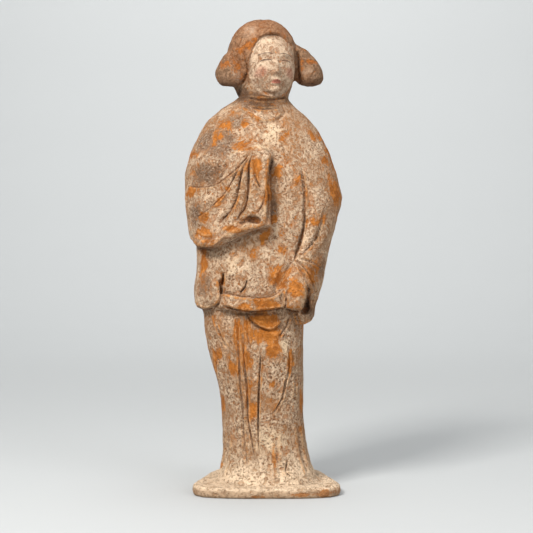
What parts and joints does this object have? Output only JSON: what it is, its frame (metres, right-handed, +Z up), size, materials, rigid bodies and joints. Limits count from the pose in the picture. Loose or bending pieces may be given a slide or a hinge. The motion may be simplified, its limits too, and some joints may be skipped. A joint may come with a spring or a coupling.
{
  "type": "standing figure",
  "caption": "Standing terracotta court lady figure with side buns and draped wide sleeves, moulded in one piece with a low slab base; a display sculpture.",
  "frame": {"origin": "centre of the underside of the slab, below the axis of the figure", "axes": "+Z up; the figure faces -Y; +X is towards the figure's left hand"},
  "size_m": [0.125, 0.1101, 0.372],
  "materials": {
    "clay": "unglazed fired clay with worn pale slip"
  },
  "bodies": {
    "root": {"court_lady_figure": "clay"}
  },
  "joints": []
}
